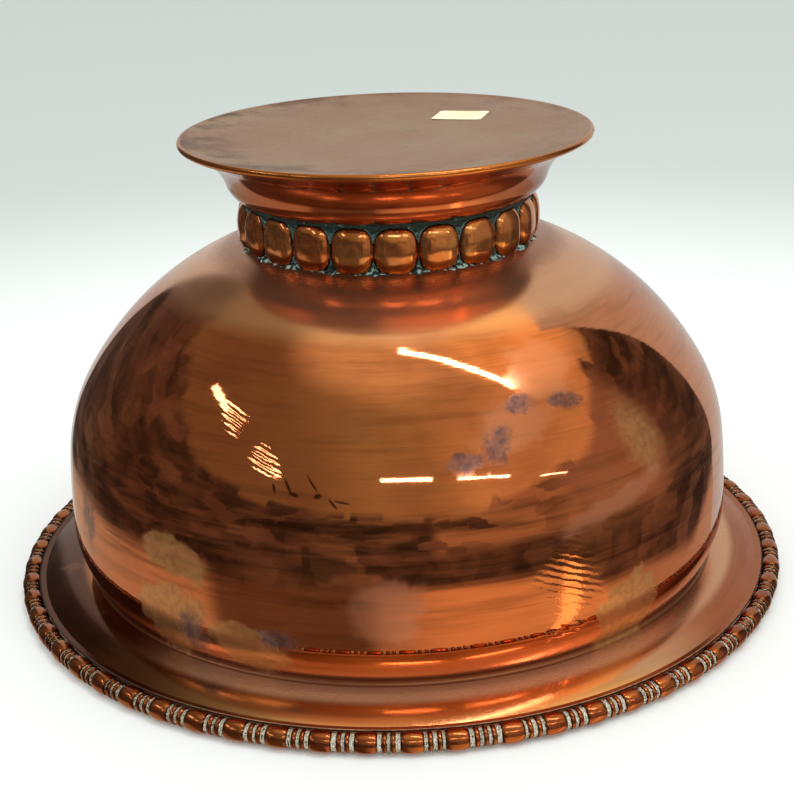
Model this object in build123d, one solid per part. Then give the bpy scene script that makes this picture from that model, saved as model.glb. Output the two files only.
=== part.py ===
"""Copper footed bowl, standing upside down on its rim, millimetres.

The origin is the centre of the plane that the rim stands on and +Z is the axis, towards the foot.
Azimuths are counted from -Y towards +X, in degrees.
Each piece is one node: the spun bowl, the bead-and-reel rim wire, the foot's skirt and base plate, the
bead collar round the neck, the soldered seams between them, and the blank label on the base plate.
"""

from build123d import *
from math import cos, pi, radians, sin, sqrt
import os

# Overall size
RIM_RADIUS = 190.0
FOOT_HEIGHT = 217.0
BOWL_SHEET = 1.2
FOOT_SHEET = 1.0

# Bowl: tangent arcs from the crown on the axis to the flange's edge, each (radius, turn); left is positive
CROWN_HEIGHT = 174.6
CROWN_ARC = (412.0, -6.0)
SHOULDER_ARC = (140.3, -53.9)
UPPER_SIDE_ARC = (75.2, -23.6)
SIDE_ARC = (320.5, -6.5)
UNDERCUT_ARC = (40.9, -33.5)
WAIST_ARC = (1.6, 119.5)
FLANGE_ARC = (81.0, -18.0)
BOWL_ARCS = [CROWN_ARC, SHOULDER_ARC, UPPER_SIDE_ARC, SIDE_ARC, UNDERCUT_ARC, WAIST_ARC, FLANGE_ARC]

# Rim wire: a round bead-and-reel wire whose two ends meet in one open butt joint
WIRE_RADIUS = 4.75
WIRE_RING_RADIUS = RIM_RADIUS - WIRE_RADIUS
WIRE_CORE_RADIUS = 3.5
BARREL_COUNT = 63
BARREL_LENGTH = 9.4
BARREL_END_RADIUS = 3.3
BARREL_SHOULDER = 1.7
BARREL_SHOULDER_RADIUS = 4.5
REEL_RADIUS = 4.35
REEL_EDGE_RADIUS = 3.7
REEL_WIDTH = 1.75
REEL_SPACING = 3.6
JOINT_AZIMUTH = 9.7
JOINT_EXTRA_ANGLE = 1.25
JOINT_GAP = 0.3
SEAM_BED_ANGLES = (176.0, 158.0, 138.0)
SEAM_BED_CLEARANCE = 0.1
SEAM_LAP = 2.4

# Neck and foot skirt: a vertical neck, a quarter-round roll, then a cove that flares out to the lip
NECK_RADIUS = 66.2
NECK_TOP = 187.0
ROLL_ROOT_ARC = (1.1, -78.0)
ROLL_ARC = (11.3, 62.0)
COVE_ARC = (23.0, -46.0)
FLARE_ARC = (110.0, -4.5)

# Base plate: a shallow dish with a flat bearing land and a half-round lip turned down over the skirt
LIP_RADIUS = 96.8
LIP_THICKNESS = 3.0
LAND_INNER_RADIUS = 94.2
LAND_OUTER_RADIUS = LIP_RADIUS - LIP_THICKNESS / 2
LAND_ROLL_ARC = (3.0, 14.0)
DISH_STEP_ARC = (25.0, -10.6)
DISH_SLOPE = 3.4
LIP_WALL_RADIUS = 95.0

# Bead collar
BEAD_COUNT = 22
FIRST_BEAD_AZIMUTH = 2.3
COLLAR_RADIUS = 70.9
COLLAR_STRIP_RADIUS = 67.0
COLLAR_TOP = 187.2
COLLAR_BOTTOM = 165.2
BEAD_RADIUS = 9.45
BEAD_BOTTOM_RADIUS = 3.0
BEAD_BOTTOM_ROUND = 8.5
BEAD_TOP_RADIUS = 6.2
BEAD_TOP_ROUND = 4.2

# Label
LABEL_LENGTH = 25.0
LABEL_WIDTH = 18.5
LABEL_CORNER = 1.5
LABEL_THICKNESS = 0.15
LABEL_CENTRE = (37.1, 38.4)
LABEL_ANGLE = -18.5


def walk(start, heading, arcs, shift=0.0):
    """Edges of a chain of tangent arcs, moved to its left by shift, with its first and last points."""
    x, z = start
    edges = []
    first = None
    for radius, turn in arcs:
        side = 1 if turn > 0 else -1
        centre_x = x - side * radius * sin(radians(heading))
        centre_z = z + side * radius * cos(radians(heading))
        moved_radius = radius - side * shift
        points = []
        for part in (0.0, 0.5, 1.0):
            angle = radians(heading + turn * part)
            out_x = side * sin(angle)
            out_z = -side * cos(angle)
            points.append((centre_x + moved_radius * out_x, centre_z + moved_radius * out_z))
        edges.append(ThreePointArc(*points))
        first = first or points[0]
        last = points[-1]
        angle = radians(heading + turn)
        x = centre_x + side * radius * sin(angle)
        z = centre_z - side * radius * cos(angle)
        heading += turn
    return edges, first, last


def turned(edges):
    """Solid of revolution about Z of the closed outline in the XZ plane."""
    return revolve(Plane.XZ * make_face(edges), Axis.Z)


def turned_outline(*points):
    return turned(Polyline(*points, close=True).edges())


def at_azimuth(radius, height, azimuth):
    """Place whose local X runs round the ring and local Y points outwards."""
    return Rot(0, 0, azimuth) * Pos(0, -radius, height) * Rot(0, 0, 180)


# ---------------------------------------------------------------- bowl

bowl_outside, crown, flange_edge = walk((0, CROWN_HEIGHT), 0, BOWL_ARCS)
bowl_inside, crown_inside, flange_edge_inside = walk((0, CROWN_HEIGHT), 0, BOWL_ARCS, -BOWL_SHEET)


def make_bowl_shell():
    ends = [Line(crown, crown_inside), Line(flange_edge, flange_edge_inside)]
    return turned(bowl_outside + bowl_inside + ends)


def make_crown_block():
    """Everything below the crown's outer surface, used to seat the collar and the neck on it."""
    arcs, top, edge = walk((0, CROWN_HEIGHT), 0, [CROWN_ARC, SHOULDER_ARC])
    floor = (0, edge[1])
    return turned(arcs + [Line(edge, floor), Line(floor, top)])


# ---------------------------------------------------------------- rim wire


def make_barrel():
    half = BARREL_LENGTH / 2
    shoulder = half - BARREL_SHOULDER
    bend = (half - BARREL_SHOULDER * 0.35, BARREL_SHOULDER_RADIUS - 0.35)
    outline = [
        Line((-half, 0), (-half, BARREL_END_RADIUS)),
        ThreePointArc((-half, BARREL_END_RADIUS), (-bend[0], bend[1]), (-shoulder, BARREL_SHOULDER_RADIUS)),
        ThreePointArc((-shoulder, BARREL_SHOULDER_RADIUS), (0, WIRE_RADIUS), (shoulder, BARREL_SHOULDER_RADIUS)),
        ThreePointArc((shoulder, BARREL_SHOULDER_RADIUS), bend, (half, BARREL_END_RADIUS)),
        Line((half, BARREL_END_RADIUS), (half, 0)),
        Line((half, 0), (-half, 0)),
    ]
    return revolve(make_face(outline), Axis.X)


def make_reel():
    half = REEL_WIDTH / 2
    outline = [
        Line((-half, 0), (-half, REEL_EDGE_RADIUS)),
        ThreePointArc((-half, REEL_EDGE_RADIUS), (0, REEL_RADIUS), (half, REEL_EDGE_RADIUS)),
        Line((half, REEL_EDGE_RADIUS), (half, 0)),
        Line((half, 0), (-half, 0)),
    ]
    return revolve(make_face(outline), Axis.X)


def make_rim_moulding():
    degrees_per_mm = 360 / (2 * pi * WIRE_RING_RADIUS)
    pitch = (360 - JOINT_EXTRA_ANGLE) / BARREL_COUNT
    reel_offset = REEL_SPACING / 2 * degrees_per_mm
    first_barrel = JOINT_AZIMUTH + (pitch + JOINT_EXTRA_ANGLE) / 2
    barrel = make_barrel()
    reel = make_reel()
    links = []
    for index in range(BARREL_COUNT):
        azimuth = first_barrel + index * pitch
        links.append(at_azimuth(WIRE_RING_RADIUS, WIRE_RADIUS, azimuth) * barrel)
        if index < BARREL_COUNT - 1:
            for offset in (-reel_offset, reel_offset):
                place = at_azimuth(WIRE_RING_RADIUS, WIRE_RADIUS, azimuth + pitch / 2 + offset)
                links.append(place * reel)
    for offset in (-2 * reel_offset, 0, 2 * reel_offset):
        links.append(at_azimuth(WIRE_RING_RADIUS, WIRE_RADIUS, JOINT_AZIMUTH + offset) * reel)
    gap_azimuth = JOINT_AZIMUTH - reel_offset
    gap_angle = JOINT_GAP * degrees_per_mm
    section = Pos(0, WIRE_RADIUS) * Pos(WIRE_RING_RADIUS, 0) * Circle(WIRE_CORE_RADIUS)
    core = revolve(Plane.XZ * section, Axis.Z, 360 - gap_angle)
    core = Rot(0, 0, gap_azimuth - 90 + gap_angle / 2) * core
    return core.fuse(*links)


def make_rim_solder_seam():
    """Solder between the flange's edge and the rim wire, lapped a little way up the flange."""
    wire_axis = Vector(WIRE_RING_RADIUS, WIRE_RADIUS)
    bed = []
    for angle in SEAM_BED_ANGLES:
        bed.append(wire_axis + Vector(WIRE_RADIUS + SEAM_BED_CLEARANCE, 0).rotate(Axis.Z, angle))
    edge = Vector(*flange_edge)
    across = edge - Vector(*flange_edge_inside)
    lap_end = edge + Vector(-across.Y, across.X).normalized() * SEAM_LAP
    return turned_outline(lap_end, edge, flange_edge_inside, *bed)


# ---------------------------------------------------------------- foot

FOOT_ARCS = [ROLL_ROOT_ARC, ROLL_ARC, COVE_ARC, FLARE_ARC]
skirt_outside, skirt_root, skirt_edge = walk((NECK_RADIUS, NECK_TOP), 90, FOOT_ARCS)
skirt_inside, skirt_root_inside, skirt_edge_inside = walk((NECK_RADIUS, NECK_TOP), 90, FOOT_ARCS, FOOT_SHEET)
NECK_FOOT = 160.0


def make_foot_skirt(crown_block):
    outer_foot = (NECK_RADIUS, NECK_FOOT)
    inner_foot = (NECK_RADIUS - FOOT_SHEET, NECK_FOOT)
    ends = [
        Line(skirt_root, outer_foot),
        Line(outer_foot, inner_foot),
        Line(inner_foot, skirt_root_inside),
        Line(skirt_edge, skirt_edge_inside),
    ]
    return turned(skirt_outside + skirt_inside + ends).cut(crown_block)


def make_foot_base_plate():
    """Dished plate: land, roll and step, then a spherical dish of DISH_SLOPE at its edge."""
    step_arcs = [LAND_ROLL_ARC, DISH_STEP_ARC]
    step, land_inner, dish_edge = walk((LAND_INNER_RADIUS, FOOT_HEIGHT), 180, step_arcs)
    under, land_inner_under, dish_edge_under = walk((LAND_INNER_RADIUS, FOOT_HEIGHT), 180, step_arcs, FOOT_SHEET)
    dish_radius = dish_edge[0] / sin(radians(DISH_SLOPE))
    dish = (dish_radius, -DISH_SLOPE)
    dish_top, _, centre = walk(dish_edge, 180 + DISH_SLOPE, [dish])
    dish_under, _, centre_under = walk(dish_edge, 180 + DISH_SLOPE, [dish], FOOT_SHEET)
    lip_middle = (LIP_RADIUS, FOOT_HEIGHT - LIP_THICKNESS / 2)
    land_outer = (LAND_OUTER_RADIUS, FOOT_HEIGHT)
    lip_bottom = (LAND_OUTER_RADIUS, FOOT_HEIGHT - LIP_THICKNESS)
    wall_bottom = (LIP_WALL_RADIUS, FOOT_HEIGHT - LIP_THICKNESS)
    wall_top = (LIP_WALL_RADIUS, FOOT_HEIGHT - FOOT_SHEET)
    outline = step + dish_top + under + dish_under + [
        Line(centre, centre_under),
        Line(land_inner_under, wall_top),
        Line(wall_top, wall_bottom),
        Line(wall_bottom, lip_bottom),
        ThreePointArc(lip_bottom, lip_middle, land_outer),
        Line(land_outer, land_inner),
    ]
    return turned(outline)


def make_foot_plate_solder_seam(plate, skirt):
    """Solder that fills the wedge between the plate, its turned-down lip and the skirt's edge."""
    top = FOOT_HEIGHT - FOOT_SHEET / 2
    inner = (LIP_WALL_RADIUS - 2.6, skirt_edge_inside[1] + 0.5)
    ring = turned_outline(
        (LIP_WALL_RADIUS + 0.2, top),
        (LIP_WALL_RADIUS + 0.2, skirt_edge[1]),
        (skirt_edge[0] - 0.2, skirt_edge[1]),
        inner,
        (inner[0], top),
    )
    return ring.cut(plate, skirt)


# ---------------------------------------------------------------- collar


def make_bead():
    """One bead about its own upright axis: a rounded barrel with a fuller bottom end."""
    low_round = COLLAR_BOTTOM + BEAD_BOTTOM_ROUND
    high_round = COLLAR_TOP - BEAD_TOP_ROUND
    diagonal = sqrt(0.5)
    low_bend = (
        BEAD_BOTTOM_RADIUS + (BEAD_RADIUS - BEAD_BOTTOM_RADIUS) * diagonal,
        low_round - BEAD_BOTTOM_ROUND * diagonal,
    )
    high_bend = (
        BEAD_TOP_RADIUS + (BEAD_RADIUS - BEAD_TOP_RADIUS) * diagonal,
        high_round + BEAD_TOP_ROUND * diagonal,
    )
    belly = (BEAD_RADIUS + 0.15, (low_round + high_round) / 2)
    outline = [
        Line((0, COLLAR_BOTTOM), (BEAD_BOTTOM_RADIUS, COLLAR_BOTTOM)),
        ThreePointArc((BEAD_BOTTOM_RADIUS, COLLAR_BOTTOM), low_bend, (BEAD_RADIUS, low_round)),
        ThreePointArc((BEAD_RADIUS, low_round), belly, (BEAD_RADIUS, high_round)),
        ThreePointArc((BEAD_RADIUS, high_round), high_bend, (BEAD_TOP_RADIUS, COLLAR_TOP)),
        Line((BEAD_TOP_RADIUS, COLLAR_TOP), (0, COLLAR_TOP)),
        Line((0, COLLAR_TOP), (0, COLLAR_BOTTOM)),
    ]
    return turned(outline)


def make_bead_collar(crown_block, skirt):
    bead = make_bead()
    beads = []
    for index in range(BEAD_COUNT):
        azimuth = FIRST_BEAD_AZIMUTH + index * 360 / BEAD_COUNT
        beads.append(at_azimuth(COLLAR_RADIUS - BEAD_RADIUS, 0, azimuth) * bead)
    strip = turned_outline(
        (NECK_RADIUS - 1, COLLAR_BOTTOM),
        (COLLAR_STRIP_RADIUS, COLLAR_BOTTOM),
        (COLLAR_STRIP_RADIUS, COLLAR_TOP - 0.5),
        (NECK_RADIUS - 1, COLLAR_TOP - 0.5),
    )
    bore = Pos(0, 0, COLLAR_BOTTOM - 5) * Cylinder(NECK_RADIUS, 40, align=(Align.CENTER, Align.CENTER, Align.MIN))
    return strip.fuse(*beads).cut(bore, crown_block, skirt)


def make_collar_upper_solder(skirt, collar):
    """Solder between the top of the collar and the foot's roll."""
    ring = turned_outline(
        (NECK_RADIUS, COLLAR_TOP - 2.2),
        (COLLAR_STRIP_RADIUS + 1.3, COLLAR_TOP - 0.7),
        (COLLAR_STRIP_RADIUS + 2.6, NECK_TOP + 2.4),
        (NECK_RADIUS, NECK_TOP + 1.4),
    )
    return ring.cut(skirt, collar)


def make_collar_lower_solder(crown_block, collar):
    """Solder fillet between the bowl's crown and the beads; it rises between the beads."""
    ring = turned_outline(
        (NECK_RADIUS, COLLAR_BOTTOM),
        (COLLAR_RADIUS + 1.2, COLLAR_BOTTOM),
        (COLLAR_RADIUS + 0.6, COLLAR_BOTTOM + 1.4),
        (COLLAR_STRIP_RADIUS + 0.4, COLLAR_BOTTOM + 5.5),
        (NECK_RADIUS, COLLAR_BOTTOM + 5.5),
    )
    bore = Pos(0, 0, COLLAR_BOTTOM - 5) * Cylinder(NECK_RADIUS, 40, align=(Align.CENTER, Align.CENTER, Align.MIN))
    return ring.cut(crown_block, collar, bore)


def make_neck_solder_joint(crown_block, skirt):
    """Solder fillet inside the neck, where it stands on the crown."""
    inner = NECK_RADIUS - FOOT_SHEET
    ring = turned_outline((inner - 3, NECK_FOOT), (inner, NECK_FOOT), (inner, CROWN_HEIGHT - 4.5))
    return ring.cut(crown_block, skirt)


# ---------------------------------------------------------------- label


def make_price_label(plate):
    """Blank paper label that lies on the dish: the plate's own top, raised by the paper's thickness."""
    outline = RectangleRounded(LABEL_LENGTH, LABEL_WIDTH, LABEL_CORNER)
    place = Pos(*LABEL_CENTRE, FOOT_HEIGHT - 10) * Rot(0, 0, LABEL_ANGLE)
    column = place * extrude(outline, 20)
    return (column & (Pos(0, 0, LABEL_THICKNESS) * plate)) - plate


# ---------------------------------------------------------------- assembly


def main():
    crown_block = make_crown_block()
    bowl = make_bowl_shell()
    wire = make_rim_moulding()
    skirt = make_foot_skirt(crown_block)
    plate = make_foot_base_plate()
    collar = make_bead_collar(crown_block, skirt)
    nodes = {
        "bowl_shell": bowl,
        "rim_moulding": wire,
        "rim_solder_seam": make_rim_solder_seam(),
        "foot_skirt": skirt,
        "foot_base_plate": plate,
        "foot_plate_solder_seam": make_foot_plate_solder_seam(plate, skirt),
        "bead_collar": collar,
        "collar_upper_solder": make_collar_upper_solder(skirt, collar),
        "collar_lower_solder": make_collar_lower_solder(crown_block, collar),
        "neck_solder_joint": make_neck_solder_joint(crown_block, skirt),
        "price_label": make_price_label(plate),
    }
    os.makedirs("parts", exist_ok=True)
    for name, solid in nodes.items():
        export_step(solid, f"parts/{name}.step")


main()
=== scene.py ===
"""Looks of the copper footed bowl that stands upside down on its rim.

Lengths are millimetres in the shape code and metres in Blender. The origin is the centre of the plane
that the rim stands on, +Z is the axis, and azimuths are degrees from -Y towards +X, as in the CAD.
"""

import math

import bpy
import numpy as np
from mathutils import Matrix, Vector


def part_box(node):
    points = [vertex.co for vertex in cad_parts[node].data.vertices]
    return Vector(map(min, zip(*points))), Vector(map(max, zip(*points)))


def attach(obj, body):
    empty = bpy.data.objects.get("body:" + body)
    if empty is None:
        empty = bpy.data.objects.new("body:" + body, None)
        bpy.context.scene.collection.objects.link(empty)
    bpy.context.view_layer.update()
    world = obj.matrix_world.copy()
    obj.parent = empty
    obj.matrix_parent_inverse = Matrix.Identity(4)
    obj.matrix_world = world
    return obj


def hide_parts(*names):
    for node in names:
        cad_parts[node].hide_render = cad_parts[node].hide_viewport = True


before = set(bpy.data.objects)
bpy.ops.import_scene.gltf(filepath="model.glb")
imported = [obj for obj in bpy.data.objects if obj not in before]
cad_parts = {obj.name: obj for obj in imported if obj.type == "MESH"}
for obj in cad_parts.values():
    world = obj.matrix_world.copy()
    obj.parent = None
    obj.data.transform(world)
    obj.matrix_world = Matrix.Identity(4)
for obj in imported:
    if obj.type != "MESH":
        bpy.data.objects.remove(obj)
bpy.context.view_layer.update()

MM = 0.001
SEED = 11

# -------------------------------- sizes, mm and degrees; the outlines and places are the CAD's own

FOOT_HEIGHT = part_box("foot_base_plate")[1].z / MM
BOWL_SHEET = 1.2
FOOT_SHEET = 1.0

# Outlines are chains of tangent arcs: radius, and turn in degrees, to the left where positive
CROWN_HEIGHT = 174.6
CROWN_ARC = (412.0, -6.0)
SHOULDER_ARC = (140.3, -53.9)
UPPER_SIDE_ARC = (75.2, -23.6)
SIDE_ARC = (320.5, -6.5)
UNDERCUT_ARC = (40.9, -33.5)
WAIST_ARC = (1.6, 119.5)
FLANGE_ARC = (81.0, -18.0)
BOWL_ARCS = [CROWN_ARC, SHOULDER_ARC, UPPER_SIDE_ARC, SIDE_ARC, UNDERCUT_ARC, WAIST_ARC, FLANGE_ARC]

RIM_RADIUS = 190.0
WIRE_RADIUS = 4.75
WIRE_RING_RADIUS = RIM_RADIUS - WIRE_RADIUS
BARREL_COUNT = 63
# Half of each link, from its end to its middle: distance along the wire from the middle, and radius
BARREL_OUTLINE = [
    (4.95, 3.3), (4.85, 3.7), (4.55, 4.02), (3.95, 4.32), (3.1, 4.53), (2.0, 4.65), (1.0, 4.71), (0.0, 4.73),
]
REEL_OUTLINE = [(1.22, 3.3), (1.16, 3.75), (0.88, 4.1), (0.46, 4.3), (0.0, 4.36)]
REEL_SPACING = 3.6
GROOVE_RADIUS = 3.62
JOINT_AZIMUTH = 9.7
JOINT_EXTRA_ANGLE = 1.25
LINK_SLIP = 0.18
LINK_SIZES = (0.975, 1.0)
LINK_STRETCHES = (0.97, 1.03)
GROOVE_SIZES = (0.97, 1.05)

NECK_RADIUS = 66.2
NECK_TOP = 187.0
NECK_FOOT = 168.5
FOOT_ARCS = [(1.1, -78.0), (11.3, 62.0), (23.0, -46.0), (110.0, -4.5)]

LIP_RADIUS = 96.8
LIP_THICKNESS = 3.0
LAND_INNER_RADIUS = 94.2
LAND_STEP_ARCS = [(3.0, 14.0), (25.0, -10.6)]
DISH_SLOPE = 3.4
LIP_WALL_RADIUS = 95.0
LIP_STEPS = 12
NICK_AZIMUTH = 79.0
NICK_WIDTH = 0.9
NICK_DEPTH = 0.7

BEAD_COUNT = 22
BEAD_HALF_PITCH = 8.18
FIRST_BEAD_AZIMUTH = 2.3
COLLAR_RADIUS = 70.9
COLLAR_TOP = 187.2
COLLAR_BOTTOM = 165.2
BEAD_MIDDLE = 176.4
BEAD_HALF_HEIGHT = 11.8
BEAD_HALF_ANGLE = 8.7
BEAD_FOOT_RADIUS = 66.6
BEAD_CREST_RADIUS = 71.7
BEAD_SIZES = (0.95, 1.0)
BEAD_LEAN = 0.3
BEAD_DROP = 0.35
BEAD_SIDE_POWER = 3.4
BEAD_END_POWER = 2.5
BEAD_SWELL_POWER = 0.6
CRUST_HEIGHT = 6.4
CRUST_FOOT_RADIUS = 72.5
CRUST_INNER_RADIUS = 66.4
UPPER_CRUST_OUTLINE = [
    (66.3, 189.6), (68.0, 189.7), (69.2, 189.3), (69.5, 188.6), (69.1, 188.0), (68.6, 187.5), (68.2, 187.0),
    (67.9, 186.4), (67.6, 185.7), (67.3, 185.0), (67.0, 184.4), (66.3, 184.2),
]

LABEL_LENGTH = 25.0
LABEL_WIDTH = 18.5
LABEL_CORNER = 1.5
LABEL_CENTRE = (37.1, 38.4)
LABEL_ANGLE = -18.5
LABEL_LAYERS = (0.14, 0.03)
LABEL_CLEARANCE = 0.06

# -------------------------------- shape helpers

DEGREES_PER_STEP = 8
BOWL_SEGMENTS = 448
SKIRT_SEGMENTS = 320
PLATE_SEGMENTS = 360
BEAD_SEGMENTS = 32
LOWER_CRUST_SEGMENTS = 900
UPPER_CRUST_SEGMENTS = 720


def walk(start, heading, arcs, spacing=2.4, shift=0.0):
    """Points (radius, height) along a chain of tangent arcs, moved left by shift."""
    x, z = start
    points = []
    for radius, turn in arcs:
        side = 1 if turn > 0 else -1
        first = math.radians(heading)
        centre_x = x - side * radius * math.sin(first)
        centre_z = z + side * radius * math.cos(first)
        moved = radius - side * shift
        by_length = math.ceil(radius * abs(math.radians(turn)) / spacing)
        steps = max(2, by_length, math.ceil(abs(turn) / DEGREES_PER_STEP))
        for step in range(1 if points else 0, steps + 1):
            angle = math.radians(heading + turn * step / steps)
            across = moved * side * math.sin(angle)
            rise = moved * side * math.cos(angle)
            points.append((centre_x + across, centre_z - rise))
        last = math.radians(heading + turn)
        x = centre_x + side * radius * math.sin(last)
        z = centre_z - side * radius * math.cos(last)
        heading += turn
    return points


def waves(x, y, z, length, count, seed):
    """Smooth random value of about -1 to 1 at each place: a sum of count plane waves of about that length."""
    draw = np.random.default_rng(seed)
    x, y, z = np.broadcast_arrays(x, y, z)
    total = np.zeros(x.shape)
    for _ in range(count):
        aim = draw.normal(size=3)
        aim *= 2 * math.pi / (length * draw.uniform(0.6, 1.6) * np.linalg.norm(aim))
        total += np.sin(aim[0] * x + aim[1] * y + aim[2] * z + draw.uniform(0, 2 * math.pi))
    return total / math.sqrt(count)


def around(radius, azimuth):
    """x and y of a radius and an azimuth in radians."""
    return radius * np.sin(azimuth), -radius * np.cos(azimuth)


def make_piece(name, points, faces, material, replaced):
    """A mesh in mm turned into a piece of the object that rides on its one body."""
    mesh = bpy.data.meshes.new(name)
    mesh.from_pydata((np.asarray(points, float) * MM).tolist(), [], faces)
    mesh.update()
    mesh.polygons.foreach_set("use_smooth", [True] * len(mesh.polygons))
    piece = bpy.data.objects.new(name, mesh)
    bpy.context.scene.collection.objects.link(piece)
    mesh.materials.append(material)
    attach(piece, "root")
    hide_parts(replaced)
    return piece


def grid_faces(rows, columns, close_rows):
    """Quads of a grid whose columns go all the way round, and whose rows may too."""
    faces = []
    for row in range(rows if close_rows else rows - 1):
        below = (row + 1) % rows
        for column in range(columns):
            following = (column + 1) % columns
            faces.append((
                row * columns + column,
                below * columns + column,
                below * columns + following,
                row * columns + following,
            ))
    return faces


def lathe(outline, segments, shape=None, closed=False):
    """Points and faces turned from an outline; an open outline starts and ends on the axis."""
    outline = np.array(outline)
    body = outline if closed else outline[1:-1]
    azimuth = np.arange(segments) * 2 * math.pi / segments
    radius = body[:, :1] + 0 * azimuth
    height = body[:, 1:] + 0 * azimuth
    azimuth = azimuth + 0 * radius
    if shape:
        radius, height = shape(radius, height, azimuth)
    x, y = around(radius, azimuth)
    points = np.stack([x, y, height], axis=-1).reshape(-1, 3).tolist()
    faces = grid_faces(len(body), segments, closed)
    if not closed:
        first, last = len(points), len(points) + 1
        bottom = (len(body) - 1) * segments
        points.append((0, 0, outline[0][1] + height[0].mean() - body[0][1]))
        points.append((0, 0, outline[-1][1] + height[-1].mean() - body[-1][1]))
        for column in range(segments):
            following = (column + 1) % segments
            faces.append((first, column, following))
            faces.append((last, bottom + following, bottom + column))
    return points, faces


# -------------------------------- shader helpers


class Graph:
    """A node tree, with a short call for each kind of node used here."""

    def __init__(self, name, tree=None):
        if tree is None:
            self.material = bpy.data.materials.new(name)
            self.material.use_nodes = True
            tree = self.material.node_tree
        self.tree = tree
        self.tree.nodes.clear()

    def node(self, kind, inputs=None, **settings):
        made = self.tree.nodes.new("ShaderNode" + kind)
        for key, value in settings.items():
            setattr(made, key, value)
        for key, value in (inputs or {}).items():
            self.put(made.inputs[key], value)
        return made

    def put(self, socket, value):
        if isinstance(value, bpy.types.NodeSocket):
            self.tree.links.new(value, socket)
        else:
            socket.default_value = value

    def math(self, operation, a, b=0.0, clamp=False):
        return self.node("Math", {0: a, 1: b}, operation=operation, use_clamp=clamp).outputs[0]

    def add(self, a, b):
        return self.math("ADD", a, b)

    def less(self, a, b):
        return self.math("SUBTRACT", a, b)

    def times(self, a, b):
        return self.math("MULTIPLY", a, b)

    def sum(self, start, *parts):
        """start plus the product of each (value, amount) pair."""
        total = start
        for value, amount in parts:
            total = self.add(total, self.times(value, amount))
        return total

    def largest(self, values):
        total = values[0]
        for value in values[1:]:
            total = self.math("MAXIMUM", total, value)
        return total

    def combine(self, x, y, z):
        return self.node("CombineXYZ", {0: x, 1: y, 2: z}).outputs[0]

    def separate(self, vector):
        return self.node("SeparateXYZ", {0: vector}).outputs

    def length(self, vector):
        return self.node("VectorMath", {0: vector}, operation="LENGTH").outputs["Value"]

    def dot(self, vector, aim):
        return self.node("VectorMath", {0: vector, 1: aim}, operation="DOT_PRODUCT").outputs["Value"]

    def noise(self, vector, scale=1.0, detail=2.0, roughness=0.5):
        inputs = {"Vector": vector, "Scale": scale, "Detail": detail, "Roughness": roughness}
        return self.node("TexNoise", inputs).outputs[0]

    def fade(self, value, low, high, start=0.0, end=1.0):
        """start below low, end above high, and a smooth change between them."""
        inputs = {0: value, 1: low, 2: high, 3: start, 4: end}
        return self.node("MapRange", inputs, interpolation_type="SMOOTHSTEP").outputs[0]

    def mix(self, factor, a, b):
        made = self.node("Mix", data_type="RGBA", blend_type="MIX")
        self.put(made.inputs[0], factor)
        self.put(made.inputs[6], a)
        self.put(made.inputs[7], b)
        return made.outputs[2]

    def cloudy(self, noise, a, b):
        """Soft clouds of the two colours."""
        return self.mix(self.fade(noise, 0.35, 0.65), a, b)

    def stained(self, colour, mask, amount, stain):
        """colour, with that amount of the stain over it where the mask is 1."""
        return self.mix(self.times(mask, amount), colour, stain)

    def bump(self, height, distance, normal=None):
        """Surface normal raised by height times distance, which is in mm."""
        inputs = {"Height": height, "Distance": distance * MM, "Strength": 1.0}
        if normal is not None:
            inputs["Normal"] = normal
        return self.node("Bump", inputs).outputs[0]

    def finish(self, **inputs):
        shader = self.node("BsdfPrincipled", {key.replace("_", " "): value for key, value in inputs.items()})
        output = self.node("OutputMaterial")
        self.tree.links.new(shader.outputs[0], output.inputs[0])
        return self.material


def rgb(red, green, blue):
    """Linear colour of an 8-bit screen colour."""
    linear = [((c / 255 + 0.055) / 1.055) ** 2.4 if c > 10 else c / 3294.6 for c in (red, green, blue)]
    return (*linear, 1.0)


class Turned:
    """Where a turned surface is shaded: unit direction from the axis, radius, height, height less radius."""

    def __init__(self, graph):
        self.graph = graph
        metres = graph.node("TexCoord").outputs["Object"]
        self.place = graph.node("VectorMath", {0: metres, 3: 1 / MM}, operation="SCALE").outputs[0]
        x, y, self.height = graph.separate(self.place)
        self.radius = graph.length(graph.combine(x, y, 0.0))
        off_axis = graph.math("MAXIMUM", self.radius, 0.01)
        self.x = graph.math("DIVIDE", x, off_axis)
        self.y = graph.math("DIVIDE", y, off_axis)
        self.along = graph.less(self.height, self.radius)
        turn = graph.math("ARCTAN2", x, graph.times(y, -1.0))
        self.azimuth = graph.times(turn, 180 / math.pi)

    def rings(self, around_scale, along_scale, detail=2.0, roughness=0.5, along=None):
        """Noise drawn out round the axis: long streaks, along_scale of them to a millimetre."""
        graph = self.graph
        along = self.along if along is None else along
        vector = graph.combine(
            graph.times(self.x, around_scale),
            graph.times(self.y, around_scale),
            graph.times(along, along_scale),
        )
        return graph.noise(vector, 1.0, detail, roughness)


# -------------------------------- marks on the bowl

MM_PER_DEGREE = 2.79

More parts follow.
